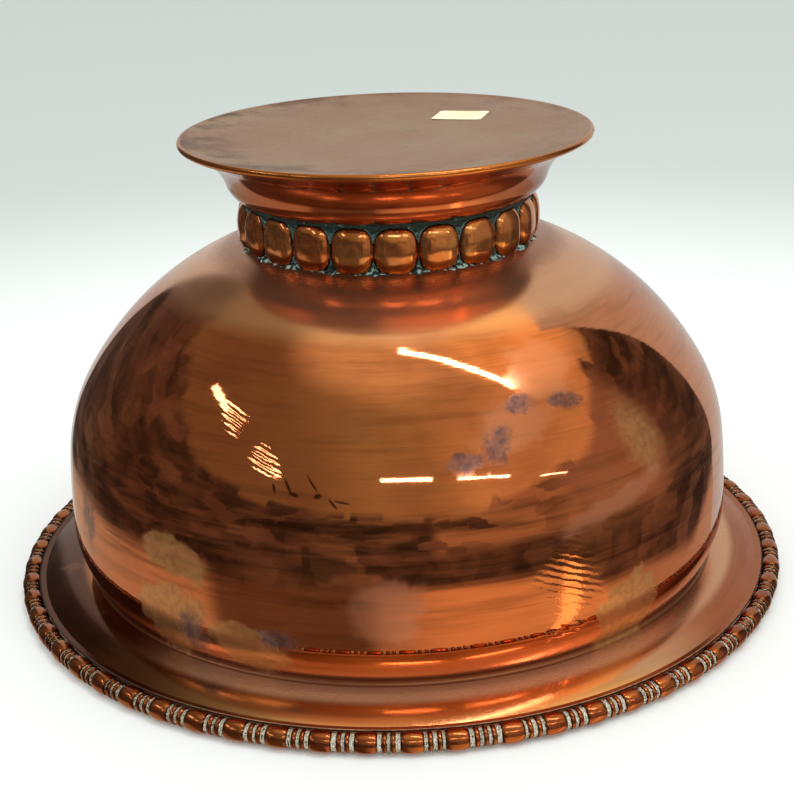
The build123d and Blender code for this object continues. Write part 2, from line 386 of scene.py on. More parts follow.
# Azimuth, height less radius, half-width, half-height, tilt in degrees, softness of the edge
TAN_MARKS = [
    (37.5, -131.0, 17.0, 17.0, 0.0, 0.10),
    (-37.0, -97.0, 20.0, 9.0, -12.0, 0.16),
    (-38.5, -126.0, 18.0, 16.0, 10.0, 0.12),
    (-24.0, -131.0, 19.0, 9.0, -8.0, 0.12),
    (44.0, -46.0, 11.0, 22.0, 10.0, 0.5),
]
PINK_MARKS = [
    (29.0, 8.0, 19.0, 22.0, 35.0, 0.3),
    (20.0, -20.0, 20.0, 14.0, 30.0, 0.35),
    (-3.0, -110.0, 16.0, 14.0, 0.0, 0.3),
    (36.0, -76.0, 34.0, 5.0, 14.0, 0.35),
]
PURPLE_MARKS = [
    (11.0, -38.0, 7.5, 6.0, 10.0, 0.35),
    (16.5, -31.0, 6.0, 10.0, -20.0, 0.5),
    (22.5, -8.0, 8.0, 5.0, 15.0, 0.4),
    (31.5, -13.0, 8.5, 5.0, -20.0, 0.4),
    (-19.0, -126.0, 8.0, 4.5, -15.0, 0.4),
    (-34.0, -131.0, 7.0, 8.0, 20.0, 0.6),
    (-62.0, -103.0, 8.0, 12.0, 0.0, 0.6),
]
SCRATCH_MARKS = [
    (-17.2, -50.0, 0.7, 4.5, 24.0, 0.5),
    (-16.2, -54.0, 2.2, 1.0, -20.0, 0.5),
    (-13.5, -47.0, 0.6, 5.0, 30.0, 0.5),
    (-12.4, -54.0, 1.7, 1.2, 30.0, 0.5),
    (-19.5, -51.5, 0.6, 2.6, 14.0, 0.5),
    (-10.0, -58.0, 0.6, 3.0, 35.0, 0.5),
    (-8.6, -57.0, 3.2, 0.5, -12.0, 0.5),
]
# Chatter left by the spinning tool: patches of fine slanted ripples
CHATTER_MARKS = [
    (25.5, -118.0, 13.0, 27.0, 0.0, 0.5),
    (-28.5, -17.0, 7.0, 11.0, 20.0, 0.8),
    (-22.0, -36.0, 7.0, 8.0, 20.0, 0.8),
]
CHATTER_PITCH = 3.4
CHATTER_SLANT = 0.45


def stain(graph, turned, ragged, mark, rag):
    """Mask of one oval mark, whose edge the ragged noise pushes in and out by rag."""
    azimuth, along, width, height, tilt, soft = mark
    where = graph.combine(graph.times(turned.azimuth, MM_PER_DEGREE), turned.along, 0.0)
    oval = graph.node("Mapping", {
        "Vector": where,
        "Location": (azimuth * MM_PER_DEGREE, along, 0.0),
        "Rotation": (0.0, 0.0, math.radians(tilt)),
        "Scale": (width, height, 1.0),
    }, vector_type="TEXTURE").outputs[0]
    pushed = graph.sum(graph.length(oval), (graph.less(ragged, 0.5), rag))
    return graph.fade(pushed, 1.0 - soft, 1.0 + soft, 1.0, 0.0)


def marks(graph, turned, ragged, table, rag):
    return graph.largest([stain(graph, turned, ragged, mark, rag) for mark in table])


def chatter_ripples(graph, turned, frayed):
    slant = graph.sum(turned.along, (turned.azimuth, CHATTER_SLANT * MM_PER_DEGREE))
    phase = graph.add(graph.times(slant, 2 * math.pi / CHATTER_PITCH), graph.times(frayed, 5.0))
    return graph.times(graph.math("SINE", phase), marks(graph, turned, frayed, CHATTER_MARKS, 1.2))


# -------------------------------- copper

BOWL_COPPER = rgb(222, 140, 94)
BOWL_COPPER_DEEP = rgb(212, 126, 86)
BRUSHED_COPPER = rgb(168, 98, 62)
TARNISH = rgb(126, 76, 48)
PATCH = rgb(190, 128, 96)
FLANGE_PAINTED_REFLECTION = rgb(248, 194, 146)
FLANGE_LEFT_SHADE = rgb(90, 50, 33)
FLANGE_RIGHT_SHADE = rgb(150, 76, 44)
PAINTED_LIFT_COPPER = rgb(244, 188, 146)
NECK_TARNISH_AND_SHADE = rgb(140, 76, 50)
GROOVE_SHADE = rgb(112, 58, 34)
TAN_PALE = rgb(208, 160, 104)
TAN_DARK = rgb(178, 128, 84)
PINK = rgb(216, 152, 126)
PURPLE = rgb(118, 84, 84)
SLATE = rgb(60, 58, 74)
SCRATCH = rgb(58, 32, 20)
FOOT_COPPER = rgb(216, 138, 100)
FOOT_COPPER_DEEP = rgb(202, 122, 86)
FOOT_BRUSHED = rgb(176, 108, 76)
FOOT_SIDE_SHADE = rgb(118, 60, 38)
FOOT_GRIME = rgb(60, 52, 42)
PLATE_PATINA = rgb(190, 154, 126)
PLATE_PATINA_DEEP = rgb(186, 142, 114)
PLATE_BRUSHED = rgb(140, 102, 78)
PLATE_SMUDGE = rgb(92, 62, 44)
PLATE_SPECK = rgb(104, 66, 46)
WORN_LIP = rgb(206, 130, 74)
WIRE_COPPER = rgb(186, 112, 72)
WIRE_COPPER_DEEP = rgb(164, 92, 58)
WIRE_RECESS = rgb(70, 40, 26)
CAST_TARNISH = rgb(140, 76, 44)
CHALK_GREY = rgb(186, 168, 138)
CHALK = rgb(252, 244, 224)
BEAD_COPPER = rgb(232, 160, 104)
BEAD_COPPER_DEEP = rgb(218, 136, 86)
BEAD_SHADE = rgb(128, 64, 38)
BEAD_EDGE_SHADE = rgb(52, 36, 28)

# Where the bowl's zones fade in, by height less radius
FLANGE_EDGE = (-142.0, -149.0)
ROOT_TOP = (-136.0, -142.0)
ROOT_BOTTOM = (-158.0, -152.0)
LOW_BAND_TOP = (-60.0, -75.0)
LOW_BAND_BOTTOM = (-118.0, -98.0)

# Where they fade in, by radius, by distance from the groove, and by height
PAINTED_LIFT_EDGE = (113.0, 101.0)
NECK_TARNISH_AND_SHADE_EDGE = (93.0, 80.0)
GROOVE_WIDTH = (2.2, 0.8)
GROOVE_TOP = (20.0, 16.0)
# The groove's radius is where the undercut's arc ends
GROOVE_LINE = walk((0, CROWN_HEIGHT), 0, BOWL_ARCS[:5])[-1][0]


def flange_painted_light(graph, turned, flange, colour):
    """The flange's copper with painted light: a painted reflection brightens the front, painted shade darkens
    the left and a little the right.
    """
    # painted reflection: paler copper on the front of the flange
    front_reflection = graph.times(flange, graph.fade(turned.y, -0.55, -0.9))
    colour = graph.stained(colour, front_reflection, 0.8, FLANGE_PAINTED_REFLECTION)
    # painted shade: darker copper on the left of the flange
    left_shade = graph.times(flange, graph.fade(turned.x, -0.2, -0.7))
    colour = graph.stained(colour, left_shade, 0.95, FLANGE_LEFT_SHADE)
    # painted shade: a little darker on the right of the flange
    right_shade = graph.times(flange, graph.fade(turned.x, 0.6, 0.85))
    return graph.stained(colour, right_shade, 0.5, FLANGE_RIGHT_SHADE)


def flange_root(graph, turned):
    """1 in the undercut and the groove where the wall meets the flange, except at the left."""
    root = graph.times(graph.fade(turned.along, *ROOT_TOP), graph.fade(turned.along, *ROOT_BOTTOM))
    return graph.times(root, graph.fade(turned.x, -0.85, -0.5))


def make_polished_copper():
    """The bowl: spun and brushed round its axis, with streaky tarnish, matte stains and fine scratches."""
    graph = Graph("polished_copper")
    turned = Turned(graph)
    cloud = graph.noise(turned.place, 0.018, 3.0, 0.55)
    ragged = graph.noise(turned.place, 0.09, 4.0, 0.6)
    frayed = graph.noise(turned.place, 0.2, 4.0, 0.65)
    speckle = graph.noise(turned.place, 0.3, 4.0, 0.6)
    patchy = graph.fade(graph.noise(turned.place, 0.03, 4.0, 0.6), 0.62, 0.7)
    streak = turned.rings(2.2, 0.16, 3.0, 0.6)
    brush = turned.rings(5.0, 1.4, 3.0, 0.65)
    ripple = turned.rings(1.6, 0.34, 1.0, 0.4)

    low_band = graph.fade(turned.along, *LOW_BAND_TOP)
    low_band = graph.times(low_band, graph.fade(turned.along, *LOW_BAND_BOTTOM))
    tarnish = graph.times(graph.fade(streak, 0.45, 0.7), graph.add(graph.times(low_band, 0.6), 0.3))
    flange = graph.fade(turned.along, *FLANGE_EDGE)
    root = flange_root(graph, turned)
    # painted light: paler copper in the undercut, the groove by the flange and round the collar, lifting
    # their shade
    painted_lift = graph.math("MAXIMUM", root, graph.fade(turned.radius, *PAINTED_LIFT_EDGE))
    # tarnish and painted shade: darker copper on the dome round the collar
    neck = graph.fade(graph.sum(turned.radius, (frayed, 8.0)), *NECK_TARNISH_AND_SHADE_EDGE)
    # painted shade: darker copper along the groove where the wall meets the flange
    groove = graph.fade(graph.math("ABSOLUTE", graph.less(turned.radius, GROOVE_LINE)), *GROOVE_WIDTH)
    groove = graph.times(groove, graph.fade(turned.height, *GROOVE_TOP))
    tan = marks(graph, turned, ragged, TAN_MARKS, 1.5)
    pink = marks(graph, turned, ragged, PINK_MARKS, 1.6)
    purple = marks(graph, turned, frayed, PURPLE_MARKS, 2.4)
    scratch = marks(graph, turned, ragged, SCRATCH_MARKS, 1.0)

    colour = graph.cloudy(cloud, BOWL_COPPER, BOWL_COPPER_DEEP)
    colour = graph.mix(graph.fade(brush, 0.45, 0.75, 0.0, 0.3), colour, BRUSHED_COPPER)
    colour = graph.mix(tarnish, colour, TARNISH)
    # painted reflection at the flange's front, painted shade at its sides
    colour = flange_painted_light(graph, turned, flange, colour)
    # painted light in the hollows, tarnish with painted shade round the collar, painted shade along the
    # groove
    colour = graph.stained(colour, painted_lift, 0.7, PAINTED_LIFT_COPPER)
    colour = graph.stained(colour, neck, 0.6, NECK_TARNISH_AND_SHADE)
    colour = graph.stained(colour, groove, 0.8, GROOVE_SHADE)
    colour = graph.stained(colour, patchy, 0.3, PATCH)
    colour = graph.stained(colour, tan, 0.66, graph.mix(graph.fade(speckle, 0.35, 0.7), TAN_PALE, TAN_DARK))
    colour = graph.stained(colour, pink, 0.45, PINK)
    colour = graph.stained(colour, purple, 0.8, graph.mix(graph.fade(speckle, 0.4, 0.62), PURPLE, SLATE))
    colour = graph.stained(colour, scratch, 0.85, SCRATCH)

    rough = graph.sum(
        0.02, (brush, 0.045), (painted_lift, 0.13), (flange, 0.1), (neck, 0.1), (groove, 0.2), (tan, 0.2),
        (pink, 0.13), (purple, 0.18), (patchy, 0.08),
    )
    film = graph.sum(graph.times(tan, 0.15), (purple, 0.2), (pink, 0.08))
    # less metal in these hollows, so a diffuse part lifts their shade: painted light
    front_root = graph.times(root, graph.fade(turned.y, -0.5, -0.9))
    film = graph.largest([film, graph.times(painted_lift, 0.06), graph.times(front_root, 0.22)])
    metal = graph.less(1.0, film)

    normal = graph.bump(brush, 0.0016)
    normal = graph.bump(ripple, 0.014, normal)
    normal = graph.bump(scratch, -0.05, normal)
    normal = graph.bump(chatter_ripples(graph, turned, frayed), 0.02, normal)
    return graph.finish(Base_Color=colour, Metallic=metal, Roughness=rough, Normal=normal)


def make_foot_copper():
    """The foot's skirt: deeper red, polished round the axis, with painted shade at the sides, and grimy at
    the roll.
    """
    graph = Graph("foot_copper")
    turned = Turned(graph)
    brush = turned.rings(6.0, 1.8, 3.0, 0.6)
    cloud = graph.noise(turned.place, 0.035, 3.0, 0.55)
    ripple = turned.rings(1.8, 0.5, 1.0, 0.4)
    # painted shade: darker towards the sides, away from the front
    side_shade = graph.fade(graph.times(turned.y, -1.0), 0.9, 0.4)
    grime = graph.times(graph.fade(turned.height, 190.5, 188.2), graph.fade(cloud, 0.3, 0.6))
    colour = graph.cloudy(cloud, FOOT_COPPER, FOOT_COPPER_DEEP)
    colour = graph.mix(graph.fade(brush, 0.45, 0.75, 0.0, 0.35), colour, FOOT_BRUSHED)
    colour = graph.stained(colour, side_shade, 0.75, FOOT_SIDE_SHADE)
    colour = graph.stained(colour, grime, 0.8, FOOT_GRIME)
    rough = graph.sum(0.08, (brush, 0.07), (grime, 0.3))
    normal = graph.bump(brush, 0.003)
    normal = graph.bump(ripple, 0.012, normal)
    return graph.finish(Base_Color=colour, Metallic=1.0, Roughness=rough, Normal=normal)


def make_plate_copper():
    """The base plate: satin brown patina, dark smudges, and a bright worn lip."""
    graph = Graph("patinated_copper")
    turned = Turned(graph)
    cloud = graph.noise(turned.place, 0.02, 4.0, 0.6)
    smudge = graph.noise(turned.place, 0.05, 5.0, 0.65)
    brush = turned.rings(4.0, 1.1, 3.0, 0.6, turned.radius)
    speck = graph.fade(graph.noise(turned.place, 0.4, 2.0, 0.5), 0.68, 0.76)
    edge = graph.fade(turned.radius, 60.0, 93.0)
    side = graph.fade(graph.times(turned.x, -1.0), -0.35, 0.9)
    dark = graph.times(edge, graph.add(graph.times(side, 0.7), 0.3))
    dark = graph.times(dark, graph.fade(smudge, 0.42, 0.62))
    lip = graph.fade(turned.radius, 94.6, 95.8)
    colour = graph.cloudy(cloud, PLATE_PATINA, PLATE_PATINA_DEEP)
    colour = graph.mix(graph.fade(brush, 0.45, 0.75, 0.0, 0.25), colour, PLATE_BRUSHED)
    colour = graph.stained(colour, dark, 0.7, PLATE_SMUDGE)
    colour = graph.stained(colour, speck, 0.5, PLATE_SPECK)
    colour = graph.mix(lip, colour, WORN_LIP)
    rough = graph.less(graph.sum(0.36, (smudge, 0.12)), graph.times(lip, 0.24))
    normal = graph.bump(brush, 0.006)
    normal = graph.bump(cloud, 0.05, normal)
    return graph.finish(Base_Color=colour, Metallic=1.0, Roughness=rough, Normal=normal)


def make_wire_copper():
    """The bead-and-reel wire: brown copper; polish residue dried in its grooves, thickest at the front."""
    graph = Graph("rim_wire_copper")
    turned = Turned(graph)
    out = graph.less(turned.radius, WIRE_RING_RADIUS)
    up = graph.less(turned.height, WIRE_RADIUS)
    from_core = graph.math("SQRT", graph.add(graph.times(out, out), graph.times(up, up)))
    ragged = graph.noise(turned.place, 0.9, 4.0, 0.65)
    fine = graph.noise(turned.place, 2.4, 3.0, 0.6)
    cloud = graph.noise(turned.place, 0.03, 3.0, 0.5)
    colour = graph.cloudy(cloud, WIRE_COPPER, WIRE_COPPER_DEEP)
    colour = graph.mix(graph.fade(ragged, 0.5, 0.75, 0.0, 0.5), colour, CAST_TARNISH)
    colour = graph.mix(graph.fade(from_core, 3.9, 4.35), WIRE_RECESS, colour)

    front = graph.fade(turned.y, -0.45, -0.85, 0.3, 1.0)
    right = graph.fade(turned.x, -0.7, -0.1, 0.3, 1.0)
    plenty = graph.times(front, right)
    wavy = graph.sum(from_core, (graph.less(ragged, 0.5), 1.5), (graph.less(1.0, plenty), 0.2))
    packed = graph.fade(wavy, 3.64, 3.8, 1.0, 0.0)
    amount = graph.times(packed, graph.add(graph.times(plenty, 0.4), 0.6))
    residue = graph.times(amount, graph.fade(fine, 0.36, 0.56, 0.3, 1.0))
    colour = graph.mix(residue, colour, graph.mix(graph.fade(fine, 0.3, 0.6), CHALK_GREY, CHALK))
    rough = graph.sum(0.1, (ragged, 0.12), (residue, 0.45))
    normal = graph.bump(ragged, 0.015)
    normal = graph.bump(graph.times(residue, fine), 0.25, normal)
    metal = graph.math("SUBTRACT", 1.0, residue, True)
    return graph.finish(Base_Color=colour, Metallic=metal, Roughness=rough, Normal=normal)


def make_bead_copper():
    """The neck's beads: golden copper, with verdigris in the gaps and along both edges, and painted shade on
    their lower parts and round each bead.
    """
    graph = Graph("bead_copper")
    turned = Turned(graph)
    ragged = graph.noise(turned.place, 0.6, 4.0, 0.65)
    fine = graph.noise(turned.place, 1.8, 3.0, 0.6)
    cloud = graph.noise(turned.place, 0.06, 3.0, 0.5)
    shake = graph.times(graph.less(ragged, 0.5), 1.3)
    gap = graph.fade(graph.add(turned.radius, shake), 68.0, 68.3, 1.0, 0.0)
    # painted shade: darker where each bead curves down into the gaps
    edge_shade = graph.fade(graph.sum(turned.radius, (shake, 0.6)), 68.2, 69.7, 1.0, 0.0)
    shade = graph.fade(turned.height, 174.0, 167.0)
    colour = graph.cloudy(cloud, BEAD_COPPER, BEAD_COPPER_DEEP)
    colour = graph.mix(graph.fade(ragged, 0.5, 0.8, 0.0, 0.4), colour, CAST_TARNISH)
    colour = graph.stained(colour, shade, 0.6, BEAD_SHADE)
    colour = graph.mix(edge_shade, colour, BEAD_EDGE_SHADE)
    colour = graph.mix(gap, colour, graph.mix(graph.fade(fine, 0.4, 0.66), VERDIGRIS_DARK, VERDIGRIS_PALE))
    rough = graph.sum(0.1, (ragged, 0.1), (gap, 0.5))
    normal = graph.bump(ragged, 0.015)
    normal = graph.bump(graph.times(gap, fine), 0.4, normal)
    metal = graph.math("SUBTRACT", 1.0, gap, True)
    return graph.finish(Base_Color=colour, Metallic=metal, Roughness=rough, Normal=normal)


# -------------------------------- solder, verdigris and paper

VERDIGRIS_DARK = rgb(26, 48, 46)
VERDIGRIS = rgb(56, 84, 78)
VERDIGRIS_PALE = rgb(120, 152, 142)
LOWER_CRUST_DARK = rgb(18, 30, 28)
LOWER_CRUST_PALE = rgb(172, 200, 190)
UPPER_CRUST_DARK = rgb(14, 24, 23)
UPPER_CRUST_PALE = rgb(96, 124, 116)
SOLDER = rgb(200, 122, 82)
SOLDER_BRIGHT = rgb(216, 136, 92)
SOLDER_AT_WIRE = rgb(34, 24, 18)
PAPER = rgb(250, 243, 206)
PAPER_AGED = rgb(240, 230, 186)
PAPER_FIBRE = rgb(222, 208, 164)


def make_verdigris(name, dark, pale, pale_start, pale_end):
    """Crusty green-blue corrosion over solder, with pale flecks."""
    graph = Graph(name)
    place = Turned(graph).place
    grain = graph.noise(place, 1.1, 5.0, 0.7)
    fleck = graph.noise(place, 0.45, 4.0, 0.6)
    colour = graph.mix(graph.fade(grain, 0.4, 0.75), dark, VERDIGRIS)
    colour = graph.mix(graph.fade(fleck, pale_start, pale_end), colour, pale)
    rough = graph.sum(0.6, (grain, 0.3))
    return graph.finish(Base_Color=colour, Metallic=0.0, Roughness=rough, Normal=graph.bump(grain, 0.35))


def make_solder():
    """Soft solder that the copper has coloured, dark where it meets the rim wire."""
    graph = Graph("solder")
    turned = Turned(graph)
    grain = graph.noise(turned.place, 0.7, 4.0, 0.6)
    flange = graph.fade(turned.radius, 150.0, 160.0)
    shaken = graph.sum(turned.radius, (graph.less(grain, 0.5), 1.2))
    at_wire = graph.fade(turned.radius, 180.4, 181.0)
    colour = graph.cloudy(grain, SOLDER, SOLDER_BRIGHT)
    # painted reflection at the flange's front and painted shade at its sides, as on the bowl
    colour = flange_painted_light(graph, turned, flange, colour)
    colour = graph.mix(graph.fade(shaken, 180.7, 181.2), colour, SOLDER_AT_WIRE)
    rough = graph.sum(0.17, (grain, 0.12), (at_wire, 0.5))
    metal = graph.less(1.0, graph.times(at_wire, 0.8))
    return graph.finish(Base_Color=colour, Metallic=metal, Roughness=rough, Normal=graph.bump(grain, 0.02))


def make_label_paper():
    """Aged cream label paper with fine fibres."""
    graph = Graph("label_paper")
    place = Turned(graph).place
    fibre = graph.noise(place, 3.0, 4.0, 0.6)
    age = graph.noise(place, 0.12, 3.0, 0.5)
    colour = graph.cloudy(age, PAPER, PAPER_AGED)
    colour = graph.mix(graph.fade(fibre, 0.4, 0.7, 0.0, 0.25), colour, PAPER_FIBRE)
    rough = graph.sum(0.75, (fibre, 0.15))
    return graph.finish(Base_Color=colour, Roughness=rough, Normal=graph.bump(fibre, 0.02))


# -------------------------------- bowl


def wobble(radius, height, azimuth):
    """The hand-finished sheet is never quite round: shallow waves, dying out at the collar and the flange."""
    x, y = around(radius, azimuth)
    free = np.clip((radius - 74) / 20, 0, 1) * np.clip((height - 16) / 20, 0, 1)
    push = 0.09 * waves(x, y, height, 75, 14, SEED) + 0.025 * waves(x, y, height, 28, 14, SEED + 1)
    return radius + push * free * 0.8, height + push * free * 0.6


def make_bowl(material):
    outside = walk((0, CROWN_HEIGHT), 0, BOWL_ARCS)
    inside = walk((0, CROWN_HEIGHT), 0, BOWL_ARCS, spacing=6.0, shift=-BOWL_SHEET)
    points, faces = lathe(outside + inside[::-1], BOWL_SEGMENTS, wobble)
    return make_piece("copper_bowl", points, faces, material, "bowl_shell")


# -------------------------------- rim wire


def link_stations():
    """Azimuth and radius of every section along the wire, with each link a little different."""
    draw = np.random.default_rng(SEED + 2)
    degrees_per_mm = 180 / (math.pi * WIRE_RING_RADIUS)
    pitch = (360 - JOINT_EXTRA_ANGLE) / BARREL_COUNT
    first = JOINT_AZIMUTH + (pitch + JOINT_EXTRA_ANGLE) / 2
    reel_offset = REEL_SPACING / 2 * degrees_per_mm
    centres = []
    for index in range(BARREL_COUNT):
        azimuth = first + index * pitch
        centres.append((azimuth, BARREL_OUTLINE))
        if index < BARREL_COUNT - 1:
            centres.append((azimuth + pitch / 2 - reel_offset, REEL_OUTLINE))
            centres.append((azimuth + pitch / 2 + reel_offset, REEL_OUTLINE))
    for step in (-2, 0, 2):
        centres.append((JOINT_AZIMUTH + 360 + step * reel_offset, REEL_OUTLINE))
    stations = []
    for number, (azimuth, outline) in enumerate(centres):
        azimuth += draw.uniform(-LINK_SLIP, LINK_SLIP) * degrees_per_mm
        size = draw.uniform(*LINK_SIZES)
        stretch = draw.uniform(*LINK_STRETCHES)
        half = [(offset * stretch, radius * size) for offset, radius in outline]
        for offset, radius in half:
            stations.append((azimuth - offset * degrees_per_mm, radius))
        for offset, radius in half[-2::-1]:
            stations.append((azimuth + offset * degrees_per_mm, radius))
        following = centres[(number + 1) % len(centres)]
        far = following[0] + (360 if number == len(centres) - 1 else 0)
        start = azimuth + half[0][0] * degrees_per_mm
        end = far - following[1][0][0] * degrees_per_mm
        stations.append(((start + end) / 2, GROOVE_RADIUS * draw.uniform(*GROOVE_SIZES)))
    return np.array(stations)


def make_rim_wire(material, around_wire=26):
    stations = link_stations()
    azimuth = np.radians(stations[:, :1])
    angle = np.arange(around_wire) * 2 * math.pi / around_wire
    section = stations[:, 1:] + 0 * angle
    x, y = around(WIRE_RING_RADIUS, azimuth)
    rough = 1 + 0.006 * waves(x, y, 40 * angle, 9, 10, SEED + 3)
    section = np.minimum(section * rough, WIRE_RADIUS)
    radius = WIRE_RING_RADIUS + section * np.cos(angle)
    height = WIRE_RADIUS + section * np.sin(angle)
    x, y = around(radius, azimuth)
    points = np.stack([x, y, height], axis=-1).reshape(-1, 3)
    faces = grid_faces(len(stations), around_wire, True)
    faces = [face[::-1] for face in faces]
    return make_piece("bead_and_reel_wire", points, faces, material, "rim_moulding")


# -------------------------------- foot


def make_skirt(material):
    outside = walk((NECK_RADIUS, NECK_TOP), 90, FOOT_ARCS, spacing=0.7)
    inside = walk((NECK_RADIUS, NECK_TOP), 90, FOOT_ARCS, spacing=2.0, shift=FOOT_SHEET)
    foot = [(NECK_RADIUS - FOOT_SHEET, NECK_FOOT), (NECK_RADIUS, NECK_FOOT)]

    def shape(radius, height, azimuth):
        x, y = around(radius, azimuth)
        free = np.clip((radius - 70) / 6, 0, 1) * np.clip((94 - radius) / 4, 0, 1)
        return radius + 0.05 * free * waves(x, y, height, 40, 10, SEED + 4), height

    outline = foot + outside + inside[::-1]
    points, faces = lathe(outline[::-1], SKIRT_SEGMENTS, shape, closed=True)
    return make_piece("foot_flare", points, faces, material, "foot_skirt")


def plate_outline():
    """Top of the plate from the axis to the lip, then its underside back to the axis."""
    land_edge = (LAND_INNER_RADIUS, FOOT_HEIGHT)
    step = walk(land_edge, 180, LAND_STEP_ARCS, spacing=0.8)
    under_step = walk(land_edge, 180, LAND_STEP_ARCS, spacing=2.0, shift=FOOT_SHEET)
    dish_edge = step[-1]
    dish_arcs = [(dish_edge[0] / math.sin(math.radians(DISH_SLOPE)), -DISH_SLOPE)]
    dish = walk(dish_edge, 180 + DISH_SLOPE, dish_arcs, spacing=3.0)
    under_dish = walk(dish_edge, 180 + DISH_SLOPE, dish_arcs, spacing=8.0, shift=FOOT_SHEET)
    lip_centre = (LIP_RADIUS - LIP_THICKNESS / 2, FOOT_HEIGHT - LIP_THICKNESS / 2)
    lip = []
    for number in range(LIP_STEPS + 1):
        angle = math.radians(90 - 180 / LIP_STEPS * number)
        lip.append((
            lip_centre[0] + LIP_THICKNESS / 2 * math.cos(angle),
            lip_centre[1] + LIP_THICKNESS / 2 * math.sin(angle),
        ))
    wall = [(LIP_WALL_RADIUS, FOOT_HEIGHT - LIP_THICKNESS), (LIP_WALL_RADIUS, FOOT_HEIGHT - FOOT_SHEET)]
    top = (step + dish[1:])[::-1]
    under = under_step + under_dish[1:]
    return top, lip + wall + under


def plate_shape(radius, height, azimuth):
    """The dish is a little uneven, and its lip has one nick."""
    x, y = around(radius, azimuth)
    nick = np.exp(-((np.degrees(azimuth) - NICK_AZIMUTH) / NICK_WIDTH) ** 2)
    nick *= np.clip((radius - 94) / 2.5, 0, 1)
    free = np.clip((88 - radius) / 20, 0, 1)
    return radius - NICK_DEPTH * nick, height + 0.07 * free * waves(x, y, 0 * x, 60, 12, SEED + 5)


def make_plate(material):
    top, rest = plate_outline()
    points, faces = lathe(top + rest, PLATE_SEGMENTS, plate_shape)
    return make_piece("foot_plate", points, faces, material, "foot_base_plate")


# -------------------------------- collar


def nearest_bead(azimuth):
    """Degrees from the nearest bead's middle, and that bead's number."""
    pitch = 360 / BEAD_COUNT
    turn = (np.degrees(azimuth) - FIRST_BEAD_AZIMUTH) / pitch
    number = np.round(turn)
    return (turn - number) * pitch, number.astype(int) % BEAD_COUNT


def bead_surface(height, azimuth):
    """Radius of the collar's outside: cushion-shaped beads, each a little different, over their strip."""
    draw = np.random.default_rng(SEED + 6)
    size = draw.uniform(*BEAD_SIZES, BEAD_COUNT)
    lean = draw.uniform(-BEAD_LEAN, BEAD_LEAN, BEAD_COUNT)
    drop = draw.uniform(-BEAD_DROP, BEAD_DROP, BEAD_COUNT)
    offset, number = nearest_bead(azimuth)
    up = (height - BEAD_MIDDLE - drop[number]) / BEAD_HALF_HEIGHT
    across = (offset - lean[number] * up) / (BEAD_HALF_ANGLE * size[number])
    swell = 1 - np.abs(across) ** BEAD_SIDE_POWER - np.abs(up) ** BEAD_END_POWER
    crest = BEAD_CREST_RADIUS - BEAD_FOOT_RADIUS
    return BEAD_FOOT_RADIUS + crest * np.maximum(swell, 0) ** BEAD_SWELL_POWER


def make_collar(material):
    rows = BEAD_MIDDLE - BEAD_HALF_HEIGHT * np.cos(np.linspace(0, math.pi, 30))
    rows = np.clip(rows, COLLAR_BOTTOM, COLLAR_TOP)
    outline = [(NECK_RADIUS, COLLAR_TOP)] + [(COLLAR_RADIUS, height) for height in rows[::-1]]
    outline.append((NECK_RADIUS, COLLAR_BOTTOM))

    def shape(radius, height, azimuth):
        x, y = around(radius, azimuth)
        surface = bead_surface(height, azimuth) + 0.05 * waves(x, y, height, 7, 10, SEED + 7)
        return np.where(radius > NECK_RADIUS + 1, surface, radius), height

    points, faces = lathe(outline, BEAD_COUNT * BEAD_SEGMENTS, shape, closed=True)
    return make_piece("neck_beads", points, faces, material, "bead_collar")


def make_lower_crust(material):
    """Corroded solder along the beads' feet; it climbs between them."""
    heights = np.linspace(COLLAR_BOTTOM, COLLAR_BOTTOM + CRUST_HEIGHT, 14)
    outline = [(NECK_RADIUS, heights[-1])] + [(COLLAR_RADIUS, height) for height in heights[::-1]]
    outline.append((NECK_RADIUS, heights[0]))

    def shape(radius, height, azimuth):
        offset, _ = nearest_bead(azimuth)
        between = np.clip(np.abs(offset) / BEAD_HALF_PITCH, 0, 1) ** 3
        up = height - COLLAR_BOTTOM
        x, y = around(radius, azimuth)
        lump = 0.26 * waves(x, y, height, 2.6, 16, SEED + 8) + 0.15 * waves(x, y, height, 9, 8, SEED + 9)
        surface = CRUST_FOOT_RADIUS - 1.15 * up - 0.3 * up ** 2 * (1 - between) + lump
        return np.where(radius > NECK_RADIUS + 1, np.maximum(surface, CRUST_INNER_RADIUS), radius), height

    points, faces = lathe(outline, LOWER_CRUST_SEGMENTS, shape, closed=True)
    return make_piece("lower_solder_crust", points, faces, material, "collar_lower_solder")


def make_upper_crust(material):
    """Corroded solder between the beads' tops and the foot's roll."""

    def shape(radius, height, azimuth):
        x, y = around(radius, azimuth)
        lump = 0.14 * waves(x, y, height, 3, 14, SEED + 10) + 0.12 * waves(x, y, height, 12, 8, SEED + 12)
        return np.where(radius > 67, radius + lump, radius), height

    points, faces = lathe(UPPER_CRUST_OUTLINE, UPPER_CRUST_SEGMENTS, shape, closed=True)
    return make_piece("upper_solder_crust", points, faces, material, "collar_upper_solder")


# -------------------------------- label


